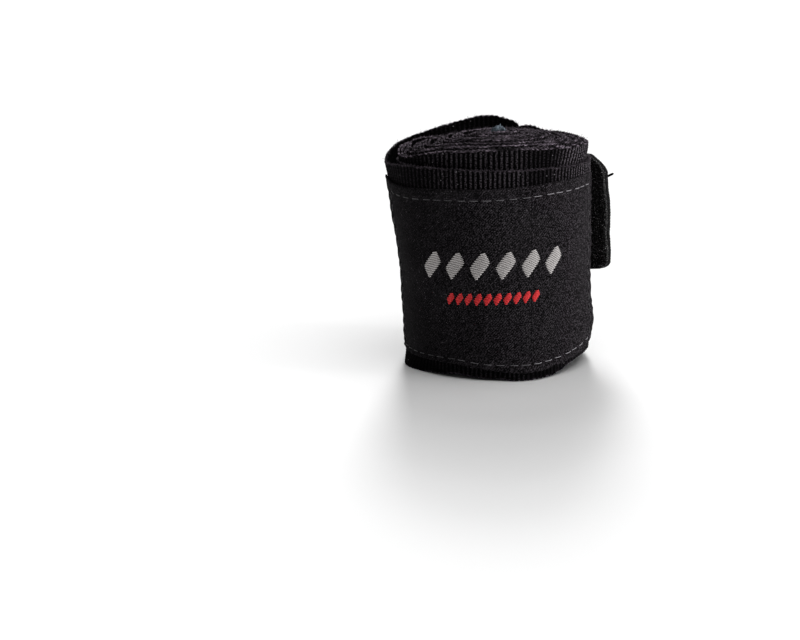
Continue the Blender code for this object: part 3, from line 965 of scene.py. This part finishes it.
def build_patch():
    """Loop pile on the last full turn, under the tab."""
    rows = 91
    phi = columns(*PATCH_PHIS, 0.35)
    share = np.linspace(0.0, 1.0, rows)[None, :]
    z = np.broadcast_to(PATCH_LOW + PATCH_WIDTH * share, (len(phi), rows))
    length = arc_length(phi)[:, None]
    border = np.minimum(np.minimum(share, 1.0 - share) * PATCH_WIDTH,
                        np.minimum(length - length[0], length[-1] - length))
    pile = 0.10 * ripples(length, z, 61, waves=9, short=1.1, long=3.0) * ease(0.8, 2.0, border)
    stand = stand_off(phi[:, None], z)
    face = 0.95 + pile - 0.3 * ease(1.2, 0.0, border) + stand
    obj = add_strip("loop_patch_cloth", phi, z, face, ON_WEB + stand, 0.05, LOOP_TAPE)
    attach(obj, "roll")
    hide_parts("loop_patch")


def ribbon(name, line, low, high, thickness, material, sway=0.0):
    """Closed upright ribbon along a plan line in the frame, in millimetres."""
    rows = 24
    line = np.array(line, float)
    along = np.gradient(line, axis=0)
    along /= np.linalg.norm(along, axis=1, keepdims=True)
    normal = np.stack([along[:, 1], -along[:, 0]], axis=1)
    level = np.linspace(0.0, 1.0, rows)
    low, high = np.broadcast_to(low, len(line)), np.broadcast_to(high, len(line))
    z = low[:, None] + (high - low)[:, None] * level[None, :]
    bow = sway * np.sin(math.pi * level)[None, :, None] * normal[:, None, :]
    middle = line[:, None, :] + bow
    half = 0.5 * thickness * normal[:, None, :]
    loop = 2 * rows
    ring = np.concatenate([np.dstack([middle + half, z]), np.dstack([middle - half, z])[:, ::-1]], axis=1)
    count = len(line)
    first, after = round_loops(count, loop)
    quads = np.stack([first, first + loop, after + loop, after], axis=-1).reshape(-1, 4)
    outer = np.arange(rows - 1)
    cap = np.stack([outer, outer + 1, loop - 2 - outer, loop - 1 - outer], axis=-1)
    quads = np.vstack([quads, cap, cap[:, ::-1] + (count - 1) * loop])
    length = np.broadcast_to(np.linspace(0.0, 1.0, count)[:, None] * 6.0, ring.shape[:2])
    strip = np.stack([length, ring[:, :, 2], 0.0 * length], axis=-1).reshape(-1, 3)
    return add_mesh(name, ring.reshape(-1, 3) * MM, quads, np.zeros((0, 3), int), material, strip)


def build_core():
    """Thumb loop, its bar tack and the tag, rolled up in the middle."""
    x, y = AXIS_X, AXIS_Y
    turn = np.linspace(0.0, math.pi, 13)
    loop = [(x - 0.7, y - 0.7 + 0.1 * i) for i in range(8)]
    loop += [(x - 0.7 * math.cos(a), y + 0.7 * math.sin(a)) for a in turn[1:-1]]
    loop += [(x + 0.7, y - 0.1 * i) for i in range(8)]
    band = ribbon("thumb_loop_cloth", loop, 30.0, 40.0, 0.45, WEB)
    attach(band, "roll")
    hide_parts("thumb_loop")

    share = np.linspace(0.0, 1.0, 7)[None, :]
    level = 31.0 + 0.42 * np.arange(20)
    side = np.where(np.arange(20) % 2 == 0, 1.0, -1.0)
    lines = np.stack([x + side[:, None] * (1.4 * share - 0.7),
                      y - 1.05 + 0.0 * side[:, None] * share,
                      level[:, None] + 0.42 * share], axis=-1) * MM
    facing = np.zeros_like(lines)
    facing[:, :, 1] = -1.0
    tack = add_tubes("loop_bar_tack_threads", lines, 0.15, 6, BLACK_THREAD, 1.0, facing)
    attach(tack, "roll")
    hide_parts("loop_bar_tack")

    places = np.linspace(-1.7, 1.7, 15)
    tip = 57.95 - 1.0 * np.abs(places / 1.7) ** 2.4 + 0.12 * rng.standard_normal(15)
    line = [(x + 0.1 + p, y + 1.3 + 0.25 * math.sin(2.0 * p)) for p in places]
    tag = ribbon("tag_ribbon", line, 45.0, tip, 0.3, TAG, sway=0.3)
    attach(tag, "roll")
    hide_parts("size_tag")


# ---- fuzz

def add_fuzz(name, phi, z, out, length, body=None, joint=None):
    """Short loose fibres standing on the web."""
    count = len(phi)
    start = locate(phi, z, out)
    heading = rng.normal(0.0, 1.0, (count, 3))
    heading[:, 2] = np.abs(heading[:, 2]) + 0.3
    heading /= np.linalg.norm(heading, axis=1, keepdims=True)
    curl = rng.normal(0.0, 0.6, (count, 3))
    share = np.linspace(0.0, 1.0, 4)[None, :, None]
    size = (length * rng.uniform(0.5, 1.3, count))[:, None, None] * MM
    lines = start[:, None, :] + size * (heading[:, None, :] * share + curl[:, None, :] * share ** 2)
    obj = add_tubes(name, lines, rng.uniform(0.022, 0.045, count), 3, FUZZ)
    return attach(obj, body) if body else bend_at(obj, joint)


def build_fuzz():
    """Loose fibres along the cut edges."""
    core_radius = 2.6
    share = rng.uniform(0.0, 1.0, 5200)
    radius = np.sqrt(core_radius ** 2 + (TOP_RADIUS ** 2 - core_radius ** 2) * share)
    phi = (radius - LAP_RADIUS) * 360.0 / WEB_PITCH
    phi = phi - rng.uniform(0.0, 360.0, len(phi))
    phi = np.clip(phi, CORE_PHI + 5.0, -400.0)
    z = web_low(phi) + WEB_WIDTH + 0.15
    out = stand_off(phi, z) + rng.uniform(-0.2, 0.2, len(phi))
    add_fuzz("web_fuzz_top", phi, z, out, 0.45, body="roll")
    for joint in range(1, 8):
        start, end = joint_span(joint, -HALF_ARC, WEB_END_PHI)
        phi = rng.uniform(start, end, 190)
        z = web_low(phi) + WEB_WIDTH + 0.1 - top_drop(phi)
        out = stand_off(phi, z) + rng.uniform(-0.2, 0.2, len(phi))
        add_fuzz(f"web_fuzz_lap_{joint}", phi, z, out, 0.4, joint=joint)


# ---- stage

def add_floor():
    """Pale floor under the roll."""
    half = 6.0
    points = np.array([(-half, -half, 0.0), (half, -half, 0.0), (half, half, 0.0), (-half, half, 0.0)])
    material = bpy.data.materials.new("pale_floor")
    material.use_nodes = True
    set_inputs(material.node_tree.nodes["Principled BSDF"], {
        "Base Color": (*[FLOOR_ALBEDO] * 3, 1.0),
        "Roughness": 0.5, "Specular IOR Level": 0.0})
    floor = add_mesh("base_floor", points, np.array([[0, 1, 2, 3]]), np.zeros((0, 3), int), material)


def add_sun(name, azimuth, elevation, softness, strength):
    """Soft distant light from a direction; azimuth 0 is the camera's side, 90 the right."""
    data = bpy.data.lights.new(name, "SUN")
    data.energy = strength
    data.angle = math.radians(softness)
    light = add_object(name, data)
    light.rotation_euler = (math.radians(90.0 - elevation), 0.0, math.radians(azimuth))


def add_lights():
    """A tall soft light behind, one overhead, a low one at the right, and a little all round."""
    world = bpy.data.worlds.new("studio")
    bpy.context.scene.world = world
    world.use_nodes = True
    set_inputs(world.node_tree.nodes["Background"], {"Color": (1.0, 1.0, 1.0, 1.0), "Strength": 0.10})
    back_lights = ((27.0, 0.20), (34.0, 0.15), (43.0, 0.11), (56.0, 0.08))  # elevation, share of floor light
    for number, (elevation, share) in enumerate(back_lights, start=1):
        strength = share * math.pi / FLOOR_ALBEDO / math.sin(math.radians(elevation))
        add_sun(f"back_{number}", 180.5, elevation, 13.0, strength)
    add_sun("overhead", 60.0, 74.0, 60.0, 1.50)
    add_sun("right", 78.0, 3.0, 10.0, 2.9)
    bpy.context.scene.view_settings.view_transform = "Standard"


build_web()
label_panels = build_label()
build_label_seams(label_panels)
build_motif()
build_tab()
build_tab_seams()
build_loose_thread()
build_patch()
build_core()
build_fuzz()
add_floor()
add_lights()
